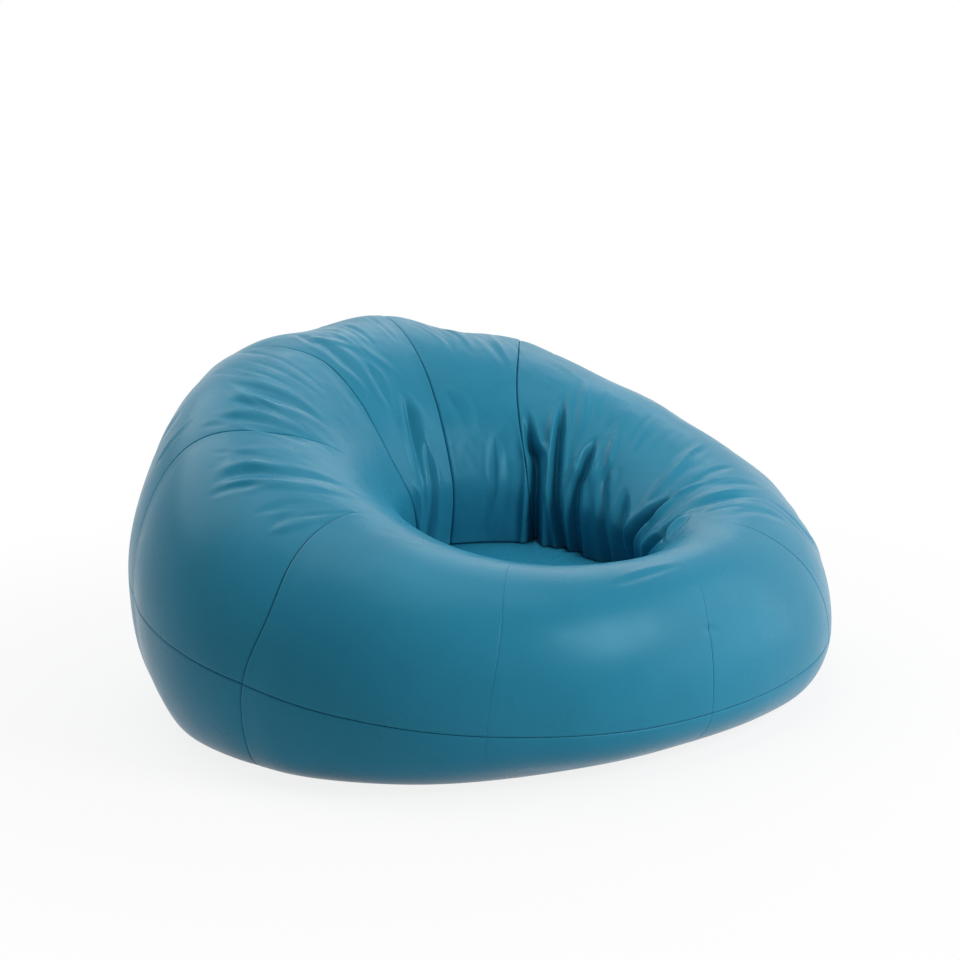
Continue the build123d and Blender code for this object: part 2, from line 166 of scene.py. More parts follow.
# Folds of the cover: depth (a ridge is a negative one), half width
# and the (angle, level) points that the fold runs through
FOLDS = (
    # Left shoulder, between the sixth and seventh seams
    (0.0054, 0.0090, ((218, 1.10), (222.5, 0.90), (224, 0.78), (227, 0.58))),
    (-0.0023, 0.0065, ((222.5, 1.06), (225.5, 0.93), (230, 0.78))),
    (0.0025, 0.0060, ((226, 1.08), (227.5, 0.92), (231.5, 0.76))),
    (-0.0022, 0.0070, ((230, 1.18), (230, 0.98), (231, 0.88), (235, 0.70))),
    (0.0030, 0.0060, ((231.5, 1.14), (233, 0.96), (236, 0.76))),
    (0.0012, 0.0050, ((232, 1.24), (234.5, 1.04))),
    (0.0014, 0.0050, ((204.5, 1.16), (207, 0.90))),
    (0.0014, 0.0060, ((213, 1.22), (218, 0.92))),
    # Left arm, between the seventh and eighth seams
    (-0.0012, 0.0070, ((243, 1.20), (244, 0.94))),
    (-0.0026, 0.0085, ((246, 1.28), (248, 1.11), (253, 0.92))),
    (0.0050, 0.0085, ((248.5, 1.34), (249.7, 1.18), (251, 1.09), (253, 1.00), (257.6, 0.78), (263, 0.60))),
    (-0.0022, 0.0065, ((250.5, 1.34), (252, 1.19), (254, 1.12), (260, 0.90), (265, 0.68))),
    (0.0018, 0.0055, ((250.5, 1.38), (252.5, 1.24), (256.5, 1.10))),
    (-0.0014, 0.0055, ((254.5, 1.26), (256, 1.10), (261, 0.92))),
    (0.0016, 0.0055, ((260, 1.30), (262.5, 1.12), (267, 0.96))),
    (0.0016, 0.0050, ((264.5, 1.32), (264.5, 1.16), (267, 1.00))),
    (-0.0018, 0.0055, ((265, 1.34), (267.6, 1.18), (269.5, 0.98))),
    # Back left, between the fifth and sixth seams
    (0.0046, 0.0075, ((193, 0.94), (194.4, 0.74), (195, 0.66), (195, 0.50))),
    (-0.0025, 0.0065, ((194.5, 0.92), (191, 0.83), (187, 0.72))),
    (0.0025, 0.0050, ((191.5, 1.00), (197, 0.78))),
    (0.0035, 0.0060, ((189, 0.68), (191, 0.55), (192.5, 0.44))),
    (0.0120, 0.0080, ((184.5, 0.54), (184.5, 0.45), (186.2, 0.38), (188, 0.30), (190, 0.21), (190.5, 0.04))),
    (0.0080, 0.0050, ((183, 0.36), (184, 0.24), (185, 0.14), (185, 0))),
    (-0.0035, 0.0045, ((197, 0.26), (192.6, 0.15), (189, 0))),
    (-0.0015, 0.0075, ((186, 0.94), (186, 0.72), (179, 0.54))),
    # Back middle, between the fourth and fifth seams
    (0.0020, 0.0060, ((160.5, 1.00), (159.9, 0.66))),
    (-0.0020, 0.0060, ((157, 1.00), (154, 0.70))),
    (0.0020, 0.0060, ((152.5, 1.00), (148.6, 0.80), (145, 0.66))),
    (-0.0025, 0.0055, ((149, 1.02), (144.5, 0.70))),
    (0.0025, 0.0080, ((168, 0.52), (163, 0.36))),
    (0.0020, 0.0055, ((153, 0.38), (154.6, 0.24), (155.5, 0.12))),
    (-0.0030, 0.0060, ((152.5, 0.38), (153.7, 0.19), (159, 0.04))),
    # Back right, between the third and fourth seams
    (0.0300, 0.0060, ((141.2, 0.54), (139, 0.38), (137, 0.32), (137.3, 0.22), (138.1, 0.13), (139, 0))),
    (-0.0050, 0.0050, ((136, 0.36), (134.1, 0.23), (134.3, 0))),
    (0.0050, 0.0040, ((133, 0.36), (133.2, 0.19), (132.5, 0))),
    (-0.0050, 0.0045, ((131.8, 0.60), (131.8, 0.45), (131.7, 0.34), (131.5, 0.12))),
    (0.0180, 0.0050, ((129.6, 0.74), (128.9, 0.53), (129, 0.41), (128.8, 0.30), (128.5, 0.20), (126, 0))),
    (-0.0050, 0.0050, ((125.2, 0.90), (123.3, 0.70), (122, 0.55), (122.3, 0.44))),
    (-0.0050, 0.0045, ((118.5, 0.42), (121.4, 0.28), (123.2, 0.10))),
    (0.0160, 0.0060, ((115, 0.58), (116.5, 0.46), (117, 0.36), (118.8, 0.28), (119, 0.20), (119.5, 0))),
    (-0.0055, 0.0045, ((109.7, 0.68), (108.8, 0.55), (107.5, 0.45), (107.2, 0.32))),
    (0.0080, 0.0055, ((107.4, 0.52), (106.8, 0.39), (105.8, 0.33), (102.9, 0.22), (102, 0))),
    (-0.0030, 0.0045, ((113, 0.50), (112.5, 0.38), (111, 0.22))),
    (0.0020, 0.0045, ((112, 0.74), (114, 0.58))),
    (0.0100, 0.0065, ((96.1, 0.44), (91.5, 0.27), (90.5, 0.15), (92, 0))),
    # Right arm, between the second and third seams
    (-0.0040, 0.0060, ((93, 1.10), (86.2, 0.78), (82.7, 0.52), (84, 0.28))),
    (0.0180, 0.0065, ((73.5, 0.68), (75.5, 0.46), (79.5, 0.28), (83.4, 0.12), (87, 0))),
    (-0.0060, 0.0045, ((75, 0.92), (73.2, 0.66), (70.5, 0.42), (70, 0.20))),
    (0.0180, 0.0070, ((62.8, 0.66), (57.5, 0.50), (56, 0.37), (61, 0.22), (66, 0))),
    (-0.0060, 0.0045, ((60, 0.70), (51.7, 0.53), (46, 0.44))),
    (0.0015, 0.0070, ((74, 1.28), (71.9, 1.03), (71.8, 0.82))),
    (0.0036, 0.0075, ((67.5, 1.24), (63.8, 1.01), (62.7, 0.87), (61, 0.74), (55.5, 0.64))),
    (-0.0022, 0.0070, ((71.5, 1.20), (66.7, 0.90), (64.5, 0.64))),
    (0.0015, 0.0070, ((61, 1.40), (57.9, 1.18), (51, 1.00))),
    # Front lip, and a tuck at the head of the first seam
    (0.0018, 0.0045, ((-24, 1.26), (-7, 1.20), (8, 1.18))),
    (-0.0007, 0.0045, ((-18, 1.17), (-4, 1.14), (8, 1.13))),
    (0.0015, 0.0040, ((0, 1.60), (8, 1.63))),
    # Back, down from the crest
    (0.0032, 0.0110, ((178, 1.12), (181, 1.35), (180, 1.65))),
    (0.0030, 0.0100, ((160, 1.20), (157, 1.50))),
    (-0.0026, 0.0100, ((165, 1.16), (163, 1.40), (164, 1.66))),
    (0.0030, 0.0100, ((128, 1.15), (124, 1.50))),
    (-0.0024, 0.0100, ((122, 1.22), (118, 1.56))),
    (0.0035, 0.0110, ((108, 1.25), (111, 1.60))),
    (-0.0024, 0.0100, ((192, 1.20), (190, 1.55))),
    (0.0030, 0.0100, ((210, 1.30), (212, 1.52), (211, 1.76))),
    (0.0024, 0.0100, ((222, 1.34), (224, 1.64))),
    (0.0030, 0.0100, ((72, 1.45), (77, 1.75))),
    (-0.0022, 0.0100, ((66, 1.52), (69, 1.80))),
    # Puckers beside the base seam
    (0.0020, 0.0090, ((150, 1.80), (152, 1.97), (149, 2.16))),
    (0.0020, 0.0080, ((163, 1.84), (161, 1.98), (163, 2.12))),
    (0.0020, 0.0090, ((186, 1.82), (184, 1.98), (187, 2.14))),
    (0.0018, 0.0080, ((119, 1.82), (121, 1.97), (119, 2.14))),
    (0.0018, 0.0080, ((104, 1.84), (102, 1.98), (104, 2.12))),
    (0.0018, 0.0080, ((218, 1.84), (216, 1.98), (219, 2.14))),
    (0.0016, 0.0080, ((80, 1.84), (82, 1.98), (79, 2.14))),
)
# Fans of fine creases over the rim: first and last angle, how many, mean depth, level they start and end at,
# and by how many degrees they lean on the way
CREASE_FANS = (
    (205, 236, 18, 0.0006, 1.10, 0.72, 7),
    (240, 268, 14, 0.0005, 1.24, 0.90, 8),
    (172, 199, 12, 0.0006, 1.02, 0.66, 2),
    (143, 168, 14, 0.0007, 1.04, 0.78, -5),
    (98, 138, 18, 0.0005, 0.92, 0.45, -4),
    (52, 92, 18, 0.0005, 1.14, 0.60, -7),
    (96, 136, 12, 0.0007, 1.36, 1.06, 3),
    (146, 196, 14, 0.0007, 1.40, 1.08, -3),
    (208, 232, 8, 0.0007, 1.50, 1.16, -4),
    (60, 88, 8, 0.0006, 1.60, 1.24, 4),
)
CREASE_W = 0.0036
CREASE_SEED = 11

# How far a crease's place, width, start and end vary, as shares
CREASE_SHIFT = 0.45
CREASE_W_SPREAD = 0.35
CREASE_START_SPREAD = 0.25
CREASE_END_SPREAD = 0.35

# Form of a fold: the shares of its length over which it starts and ends, its width at the ends, how blunt its
# crease is low and high on the bag, and the place, width and height of the soft rolls beside it
FOLD_SAMPLES = 24
FOLD_STARTS = 0.30
FOLD_ENDS = 0.55
FOLD_END_W = 0.6
FOLD_BLUNT = (0.35, 0.6)
FOLD_BLUNT_LEVELS = (0.55, 0.90)
FOLD_REACH = 5
ROLL_PLACE = 2.3
ROLL_W = 1.1
PUFF = 0.28

# Cloth pass over a coarse ring of the upper cover, which is cut a little too wide for the hollow
RING_SHARES = 32
WALL_ROWS = 64
SIDE_ROWS = 28
CLOTH_FRAMES = 20
CLOTH_GROWTH = 0.08
CLOTH_PRESSURE = 0.5
GROWN_LEVELS = (0.35, 0.90)
SEAM_HOLD = 0.12
SIDE_HOLD = 0.15
HELD_SIDE_LEVEL = 1.35
HELD_EDGE_ROWS = 3
SETTLED_LEVELS = (0.85, 1.25)
WEIGHT_STEPS = 20

# Rows and columns of the meshes, closer together beside the seams
EDGE_SHARES = np.array((0, 0.0012, 0.003, 0.0055, 0.009, 0.013, 0.018, 0.026, 0.038))
SHARES = np.concatenate([EDGE_SHARES, np.linspace(0.055, 0.945, 84), 1 - EDGE_SHARES[::-1]])
EDGE_LEVELS = np.array((0, 0.0015, 0.004, 0.008, 0.013, 0.02, 0.03))
WALL_LEVELS = np.linspace(0.04, 0.99, 96)
SIDE_LEVELS = np.linspace(1, 1.955, 84)
TOP_LEVELS = np.concatenate([EDGE_LEVELS, WALL_LEVELS, SIDE_LEVELS, 2 - EDGE_LEVELS[::-1]])
LOW_LEVELS = np.concatenate([2 + EDGE_LEVELS, np.linspace(2.045, 3, 40)])
SEAT_SHARES = np.concatenate([np.linspace(0, 0.88, 26), np.linspace(0.9, 1, 14)])
SEAT_COLUMN_STEP = 3
HALF_COLUMNS = 240
FLOOR_SHARES = np.linspace(0, 1, 26)[1:]
OUTLINE_ANGLES = np.linspace(0, 180, 3601)
INNER_LEVELS = np.linspace(0, 2.8, 57)
INNER_SEAT_SHARES = np.linspace(0, 1, 12)

# Camera, fitted to the photograph's outline and seams
IMAGE_SIZE = 960
CAMERA_AZIMUTH = -40.6
CAMERA_ELEVATION = 12.3
CAMERA_DISTANCE = 3.3
CAMERA_FOCAL_PIXELS = 2310
CAMERA_ASIDE = -0.0767
CAMERA_AIM_Z = 0.3303
SENSOR_W = 36

# Studio light: square softboxes round the bag as (name, azimuth, elevation, size, watts),
# in a dim white room
SOFTBOX_DISTANCE = 3.2
SOFTBOX_AIM_Z = 0.25
SOFTBOXES = (
    ("right_softbox", 49, 18, 2.4, 28),
    ("front_softbox", 21, 30, 1.3, 46),
    ("back_softbox", 130, 40, 1.8, 8),
    ("left_softbox", 199, 48, 2.4, 40),
    ("top_softbox", 0, 90, 2.4, 32),
)
ROOM_STRENGTH = 0.15

# Floor: lifted towards white, and fading into the white surround between two distances from the bag
FLOOR_HALF = 12
FLOOR_DROP = 0.0005
FLOOR_COLOUR = (0.88, 0.88, 0.88)
FLOOR_LIFT = 0.85
FLOOR_FADE = (0.6, 1.4)

# Colours
TEAL = (0.020, 0.212, 0.335)
GLOSS_TINT = (0.4, 0.75, 0.9)
TAPE_TEAL = (0.015, 0.085, 0.13)
TEETH_TEAL = (0.012, 0.07, 0.11)
GUNMETAL = (0.30, 0.31, 0.32)
CALICO = (0.76, 0.74, 0.68)
BEAD_WHITE = (0.86, 0.86, 0.84)


def around(sizes, angle):
    """A size at an angle round the hollow, smooth through its front, side and back values."""
    front, side, back = sizes
    turn = np.radians(angle)
    even = (front + back + 2 * side) / 4
    skew = (front - back) / 2
    oval = (front + back - 2 * side) / 4
    return even + skew * np.cos(turn) + oval * np.cos(2 * turn)


def ring_point(radius, height, angle):
    """Points at a radius from the hollow's axis."""
    turn = np.radians(angle)
    x = HOLLOW_AXIS[0] + radius * np.sin(turn)
    y = HOLLOW_AXIS[1] - radius * np.cos(turn)
    return np.stack([x, y, height + np.zeros_like(x)], -1)


def seat_dip(angle):
    """How far the seat's edge lies under the level seat."""
    turn = (angle - SEAT_DIP_ANGLE + 180) % 360 - 180
    return SEAT_DIP * np.exp(-((turn / SEAT_DIP_SPREAD) ** 2))


def bag_point(angle, level):
    """Points of the smooth bag: three quarter ellipses, from the seat seam to the floor."""
    crest_r, crest_z = around(CREST_R, angle), around(CREST_Z, angle)
    widest_r, widest_z = around(WIDEST_R, angle), around(WIDEST_Z, angle)
    contact_r = around(CONTACT_R, angle)
    quarter = [np.radians(90 * np.clip(level - start, 0, 1)) for start in range(3)]
    wall_r = crest_r - (crest_r - around(SEAT_R, angle)) * np.cos(quarter[0])
    wall_z = SEAT_Z + (crest_z - SEAT_Z) * np.sin(quarter[0])
    wall_z = wall_z - seat_dip(angle) * (1 - ease(level / SEAT_DIP_LEVEL))
    side_r = crest_r + (widest_r - crest_r) * np.sin(quarter[1])
    side_z = widest_z + (crest_z - widest_z) * np.cos(quarter[1])
    low_r = contact_r + (widest_r - contact_r) * np.cos(quarter[2])
    low_z = widest_z * (1 - np.sin(quarter[2]))
    radius = np.where(level < 1, wall_r, np.where(level < 2, side_r, low_r))
    height = np.where(level < 1, wall_z, np.where(level < 2, side_z, low_z))
    return ring_point(radius, height, angle)


def bag_normal(angle, level):
    """Outward normals of the smooth bag."""
    angle_step, level_step = 0.05, 0.002
    low = np.maximum(level - level_step, 0)
    high = np.minimum(level + level_step, 3)
    along = bag_point(angle, high) - bag_point(angle, low)
    across = bag_point(angle + angle_step, level) - bag_point(angle - angle_step, level)
    normal = np.cross(along, across)
    return normal / np.linalg.norm(normal, axis=-1, keepdims=True)


def smooth_between(places, values, at):
    """Smooth curve through values at rising places, read at the places in at."""
    slopes = np.gradient(values, places, axis=0)
    at = np.clip(at, places[0], places[-1])
    left = np.clip(np.searchsorted(places, at) - 1, 0, len(places) - 2)
    column = (len(at),) + (1,) * (values.ndim - 1)
    gap = (places[left + 1] - places[left]).reshape(column)
    share = (at - places[left]).reshape(column) / gap
    rise = share * share * (3 - 2 * share)
    start_slope = share * (1 - share) ** 2 * gap * slopes[left]
    end_slope = share * share * (1 - share) * gap * slopes[left + 1]
    return values[left] * (1 - rise) + values[left + 1] * rise + start_slope - end_slope


def smooth_through(points, at):
    """Smooth curve through (place, value) points, read at the places in at."""
    places, values = np.array(points, float).T
    return smooth_between(places, values, at)


def ease(share):
    """Smooth step from 0 to 1."""
    share = np.clip(share, 0, 1)
    return share * share * (3 - 2 * share)


def ease_between(level, ends):
    """Smooth step from 0 at the first of two levels to 1 at the second."""
    low, high = ends
    return ease((level - low) / (high - low))


def fine_creases():
    """Fine creases of the fans, spread a little unevenly, as folds."""
    draw = np.random.default_rng(CREASE_SEED)
    creases = []
    for first, last, count, depth, start, end, lean in CREASE_FANS:
        length = start - end
        for place in range(count):
            shift, size, wide, high, low = draw.uniform(-1, 1, 5)
            angle = first + (last - first) * (place + 0.5 + CREASE_SHIFT * shift) / count
            top = start + CREASE_START_SPREAD * length * high
            foot = end + CREASE_END_SPREAD * length * low
            points = ((angle, top), (angle + lean / 2, (top + foot) / 2), (angle + lean, foot))
            width = CREASE_W * (1 + CREASE_W_SPREAD * wide)
            creases.append((depth * (1 + size) ** 2, width, points))
    return creases


ALL_FOLDS = (*FOLDS, *fine_creases())


def fold_path(points):
    """Even samples along a fold, as points of the smooth bag."""
    places = np.arange(len(points), dtype=float)
    at = np.linspace(0, len(points) - 1, FOLD_SAMPLES)
    angle, level = smooth_between(places, np.array(points, float), at).T
    return bag_point(angle, np.clip(level, 0, 3))


def fold_push(depth, width, points, surface):
    """How far one fold moves surface points outwards: a creased valley or ridge between soft rolls."""
    path = fold_path(points)
    push = np.zeros(len(surface))
    reach = FOLD_REACH * width
    near = np.all((surface > path.min(0) - reach) & (surface < path.max(0) + reach), axis=1)
    if not near.any():
        return push
    here = surface[near][:, None, :]
    start, run = path[:-1], np.diff(path, axis=0)
    share = np.clip(((here - start) * run).sum(-1) / (run * run).sum(-1), 0, 1)
    gaps = np.linalg.norm(start + share[..., None] * run - here, axis=-1)
    nearest = gaps.argmin(1)
    gap = gaps.min(1)
    along = (nearest + share[np.arange(len(nearest)), nearest]) / len(run)
    ends = ease(along / FOLD_STARTS)
    if points[-1][1] > 0:
        ends = ends * ease((1 - along) / FOLD_ENDS)
    wide = width * (FOLD_END_W + (1 - FOLD_END_W) * ends)
    middle_level = sum(level for _, level in points) / len(points)
    blunt = np.interp(middle_level, FOLD_BLUNT_LEVELS, FOLD_BLUNT) * wide
    crease = np.exp(-(np.sqrt(gap * gap + blunt * blunt) - blunt) / wide)
    roll = np.exp(-(((gap - ROLL_PLACE * wide) / (ROLL_W * wide)) ** 2))
    push[near] = depth * ends * (PUFF * roll - crease)
    return push


def lumps(surface):
    """Soft unevenness of a bag full of beads."""
    push = np.zeros(len(surface))
    for size, height in LUMP_SIZES:
        push += height * np.array([noise.noise(Vector(point) / size) for point in surface])
    return push


def bulges(surface):
    """Broad pushes of the filling, fading away from their middles."""
    push = np.zeros(len(surface))
    for height, reach, middle in BULGES:
        away = np.linalg.norm(surface - bag_point(*np.array(middle, float)), axis=1)
        push += height * np.exp(-((away / reach) ** 2))
    return push


def seam_share(number, level):
    """How deep a seam lies at a level, as a share."""
    levels, shares = np.array(SEAM_SHARES[number % PANELS]).T
    return np.interp(level, levels, shares)


def seam_dip(gap):
    """Depth of the rolled edge at a distance from a seam."""
    inside = np.clip(1 - gap / SEAM_ROLL, 0, 1)
    return SEAM_ROLL * (1 - np.sqrt(np.maximum(1 - inside * inside, 0)))


def panel_angles(number, levels, shares):
    """Angles across one panel, in rows of levels, from its first seam to its last."""
    first = smooth_through(SEAM_COURSES[number], levels)
    last = smooth_through(SEAM_COURSES[(number + 1) % PANELS], levels)
    last = np.where(last < first, last + 360, last)
    return first[:, None] + (last - first)[:, None] * shares


def plump(number, level, shares):
    """How far a panel stands out of the smooth bag: swollen, and drawn in along its two seams."""
    first = np.minimum(seam_share(number, level), 1) * np.exp(-shares / SEAM_PULL_W)
    last = np.minimum(seam_share(number + 1, level), 1) * np.exp(-(1 - shares) / SEAM_PULL_W)
    return PANEL_SWELL - (PANEL_SWELL + SEAM_DRAW) * (first + last)


def off_floor(level):
    """1 on the bag, going down to 0 where the bag turns under onto the floor."""
    return 1 - ease_between(level, LANDING_LEVELS)


def panel_form(number, levels, shares):
    """Levels, smooth points, normals and the given push, over one panel in rows of levels."""
    angle = panel_angles(number, levels, shares)
    level = np.repeat(levels[:, None], len(shares), 1)
    smooth, normal = bag_point(angle, level), bag_normal(angle, level)
    flat = smooth.reshape(-1, 3)
    push = lumps(flat) + bulges(flat)
    for fold in ALL_FOLDS:
        push += fold_push(*fold, flat)
    tuck = FOOT_TUCK * (1 - ease(level / FOOT_LEVEL))
    push = push.reshape(level.shape) + plump(number, level, shares) - tuck
    return level, smooth, normal, push * off_floor(level)


def ring_faces(rows, columns):
    """Four-cornered faces of a closed ring of rows."""
    corner = np.arange(rows * columns).reshape(rows, columns)
    beside = np.roll(corner, -1, axis=1)
    cells = [corner[:-1], corner[1:], beside[1:], beside[:-1]]
    return np.stack([cell.ravel() for cell in cells], -1).tolist()


def weigh_vertices(piece, name, weights):
    """Vertex group with a weight for each vertex, in even steps."""
    group = piece.vertex_groups.new(name=name)
    steps = np.round(weights.ravel() * WEIGHT_STEPS).astype(int)
    for step in range(1, WEIGHT_STEPS + 1):
        members = np.nonzero(steps == step)[0]
        group.add(members.tolist(), step / WEIGHT_STEPS, "REPLACE")
    return name


def set_cloth(settings, hold, growth):
    """Light, limp cloth with a little pressure behind it and no weight of its own."""
    settings.quality = 5
    settings.mass = 0.004
    settings.tension_stiffness = 15
    settings.compression_stiffness = 15
    settings.shear_stiffness = 6
    settings.bending_stiffness = 0.03
    settings.tension_damping = 5
    settings.compression_damping = 5
    settings.shear_damping = 5
    settings.bending_damping = 0.5
    settings.air_damping = 1
    settings.use_pressure = True
    settings.uniform_pressure_force = CLOTH_PRESSURE
    settings.effector_weights.gravity = 0
    settings.vertex_group_mass = hold
    settings.vertex_group_shrink = growth
    settings.shrink_min = 0
    settings.shrink_max = -CLOTH_GROWTH


def run_cloth(points, hold, growth):
    """Settles a ring of points as cloth, held and grown by weights, and gives the settled points."""
    rows, columns = points.shape[:2]
    mesh = bpy.data.meshes.new("cloth_ring")
    mesh.from_pydata(points.reshape(-1, 3).tolist(), [], ring_faces(rows, columns))
    ring = bpy.data.objects.new("cloth_ring", mesh)
    scene = bpy.context.scene
    scene.collection.objects.link(ring)
    hold_name = weigh_vertices(ring, "hold", hold)
    growth_name = weigh_vertices(ring, "growth", growth)
    cloth = ring.modifiers.new("cloth", "CLOTH")
    set_cloth(cloth.settings, hold_name, growth_name)
    cloth.collision_settings.use_collision = False
    cloth.point_cache.frame_end = CLOTH_FRAMES
    for step in range(1, CLOTH_FRAMES + 1):
        scene.frame_set(step)
    settled = np.empty(rows * columns * 3, np.float32)
    settled_ring = ring.evaluated_get(bpy.context.evaluated_depsgraph_get())
    settled_ring.data.vertices.foreach_get("co", settled)
    bpy.data.objects.remove(ring)
    bpy.data.meshes.remove(mesh)
    scene.frame_set(1)
    return settled.reshape(points.shape).astype(float)


def soften(moves):
    """Evens out moves between neighbouring points of the ring."""
    across = (np.roll(moves, 1, axis=1) + 2 * moves + np.roll(moves, -1, axis=1)) / 4
    padded = np.concatenate([across[:1], across, across[-1:]])
    return (padded[:-2] + 2 * padded[1:-1] + padded[2:]) / 4


def settle_cover():
    """How the upper cover settles as cloth from the given form: levels and moves of a coarse ring."""
    levels = np.concatenate([np.linspace(0, 1, WALL_ROWS), np.linspace(1, 2, SIDE_ROWS)[1:]])
    shares = np.arange(RING_SHARES) / RING_SHARES
    forms = [panel_form(number, levels, shares) for number in range(PANELS)]
    laid = np.concatenate([smooth + normal * push[..., None] for _, smooth, normal, push in forms], axis=1)
    level = np.repeat(levels[:, None], laid.shape[1], 1)
    hold = np.where(level > HELD_SIDE_LEVEL, SIDE_HOLD, 0)
    hold = np.where(np.tile(shares, PANELS) == 0, SEAM_HOLD, hold)
    hold[0] = 1
    hold[-HELD_EDGE_ROWS:] = 1
    growth = 1 - ease_between(level, GROWN_LEVELS)
    moves = soften(run_cloth(laid, hold, growth) - laid)
    return levels, moves * (1 - ease_between(level, SETTLED_LEVELS))[..., None]


def settled_moves(number, settled):
    """Moves of one top panel, read smoothly from the coarse ring."""
    levels, moves = settled
    columns = (number * RING_SHARES + np.arange(RING_SHARES + 1)) % moves.shape[1]
    fine_rows = smooth_between(levels, moves[:, columns], TOP_LEVELS)
    coarse_shares = np.arange(RING_SHARES + 1) / RING_SHARES
    return smooth_between(coarse_shares, fine_rows.swapaxes(0, 1), SHARES).swapaxes(0, 1)


def seam_push(number, smooth, level, top):
    """Rolled edges along the seams of a top or lower panel, with the lap of the allowance on one side."""
    width = np.linalg.norm(np.diff(smooth, axis=1), axis=-1).sum(1)[:, None]
    first_gap, last_gap = width * SHARES, width * (1 - SHARES)
    lap = LAP_RISE * np.exp(-((first_gap / LAP_W) ** 2)) * off_floor(level)
    first_share, last_share = seam_share(number, level), seam_share(number + 1, level)
    push = np.minimum(first_share, 1) * lap
    push = push - first_share * seam_dip(first_gap) - last_share * seam_dip(last_gap)
    arc = np.linalg.norm(np.diff(smooth, axis=0), axis=-1)
    arc = np.concatenate([np.zeros((1, arc.shape[1])), np.cumsum(arc, axis=0)])
    if top:
        return push - seam_dip(arc) - BASE_SEAM_SHARE * seam_dip(arc[-1] - arc)
    return push - BASE_SEAM_SHARE * seam_dip(arc)


def top_panel(number, settled):
    """Smooth and finished points of one top panel, as rows of columns from its first seam to its last."""
    level, smooth, normal, push = panel_form(number, TOP_LEVELS, SHARES)
    push = push + seam_push(number, smooth, level, top=True)
    return smooth, smooth + settled_moves(number, settled) + normal * push[..., None]


def lower_panel(number):
    """Smooth and finished points of one lower panel, from the base seam to the floor."""
    level, smooth, normal, push = panel_form(number, LOW_LEVELS, SHARES)
    push = push + seam_push(number, smooth, level, top=False)
    finished = smooth + normal * push[..., None]
    finished[..., 2] = np.maximum(finished[..., 2], 0)
    return smooth, finished


def grid_faces(rows, columns):
    """Four-cornered faces between rows of points."""
    corner = np.arange(rows * columns).reshape(rows, columns)
    cells = [corner[:-1, :-1], corner[1:, :-1], corner[1:, 1:], corner[:-1, 1:]]
    return np.stack([cell.ravel() for cell in cells], -1).tolist()


def weld(mesh):
    """Joins points that coincide and turns all faces outwards."""
    work = bmesh.new()
    work.from_mesh(mesh)
    bmesh.ops.remove_doubles(work, verts=work.verts, dist=1e-5)
    bmesh.ops.dissolve_degenerate(work, edges=work.edges, dist=1e-6)
    bmesh.ops.recalc_face_normals(work, faces=work.faces)
    work.to_mesh(mesh)
    work.free()


def make_piece(name, grids, material, node):
    """Smooth-shaded mesh piece, made of grids of points, that stands for a node of the bag."""
    points, faces = [], []
    for grid in grids:
        faces += [[corner + len(points) for corner in face] for face in grid_faces(*grid.shape[:2])]
        points += grid.reshape(-1, 3).tolist()
    mesh = bpy.data.meshes.new(name)
    mesh.from_pydata(points, [], faces)
    mesh.materials.append(material)
    if len(grids) > 1:
        weld(mesh)
    mesh.shade_smooth()
    piece = bpy.data.objects.new(name, mesh)
    bpy.context.scene.collection.objects.link(piece)
    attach(piece, "bag")
    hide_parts(node)
    return piece


def thicken(piece):
    """Gives a sheet the cover's thickness, inwards."""
    sheet = piece.modifiers.new("thickness", "SOLIDIFY")
    sheet.thickness = COVER_T
    sheet.offset = -1


def make_panels(material):
    """The sewn cover: a top and a lower panel between each pair of seams. Gives the foot of the wall."""
    settled = settle_cover()
    foot = []
    for number in range(PANELS):
        smooth, finished = top_panel(number, settled)
        foot.append(finished[0])
        bands = (("top", smooth, finished), ("lower", *lower_panel(number)))
        for band, flat_cut, sewn in bands:
            node = f"{band}_panel_{number + 1}"
            piece = make_piece(f"sewn_{node}", [sewn], material, node)
            thicken(piece)
    return np.concatenate(foot)


def make_seat(material, foot):
    """Seat panel sewn to the foot of the wall: a crowned disc that rounds down into its seam."""
    shares = SEAT_SHARES[:, None]
    rim = np.concatenate([foot[::SEAT_COLUMN_STEP], foot[:1]])
    centre = np.array([*HOLLOW_AXIS, SEAT_Z])
    disc = centre + (rim - centre) * shares[..., None]
    sunk = SEAT_Z + (rim[:, 2] - SEAT_Z) * shares ** 2
    disc[..., 2] = sunk - SEAT_EDGE_DROP + SEAT_CROWN * (1 - shares ** SEAT_CROWN_POWER)
    piece = make_piece("sewn_seat_panel", [disc[:, ::-1]], material, "seat_panel")
    weld(piece.data)
    thicken(piece)


def floor_outline(angle, inset, height):
    """The bag's outline on the floor, smaller by an inset."""
    return ring_point(around(CONTACT_R, angle) - inset, height, angle)


def half_angles(side, inset):
    """Angles of the floor outline in front of the zip's line (side -1) or behind it (1), from -X to +X."""
    crossing = np.interp(ZIP_Y, floor_outline(OUTLINE_ANGLES, inset, 0)[:, 1], OUTLINE_ANGLES)
    start = -crossing if side < 0 else 360 - crossing
    return np.linspace(start, crossing, HALF_COLUMNS)


def within(x, length):
    """1 along a length about the middle, going down to 0 at its ends."""
    return ease((length / 2 - np.abs(x)) / SLOT_CORNER)


